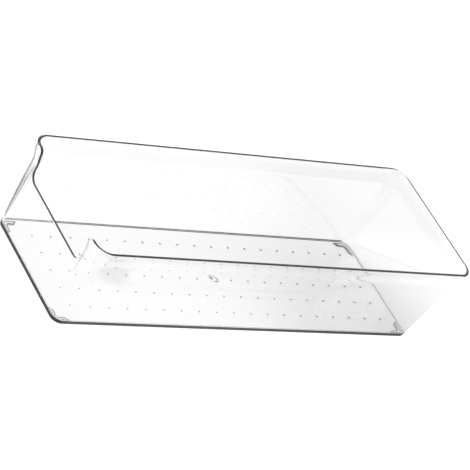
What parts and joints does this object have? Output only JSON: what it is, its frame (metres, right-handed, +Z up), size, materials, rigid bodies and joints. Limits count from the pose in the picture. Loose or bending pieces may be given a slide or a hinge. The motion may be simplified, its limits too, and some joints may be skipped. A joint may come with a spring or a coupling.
{
  "type": "drawer storage tray",
  "caption": "Long clear open-top tray with sloping walls, a flared rim, a scooped front wall, a dotted floor and L-shaped pads under its corners.",
  "frame": {"origin": "on the surface the tray stands on, under the middle of the rim's outline", "axes": "+X along the tray from the scooped front end to the back end, +Y across it to the left, +Z up"},
  "size_m": [0.3998, 0.1308, 0.0856],
  "materials": {
    "clear_plastic": "clear, polished, colourless",
    "clear_pad": "clear, smooth, soft"
  },
  "bodies": {
    "root": {"tray_body": "clear_plastic", "pad_front_left": "clear_pad", "pad_front_right": "clear_pad", "pad_back_left": "clear_pad", "pad_back_right": "clear_pad"}
  },
  "joints": []
}
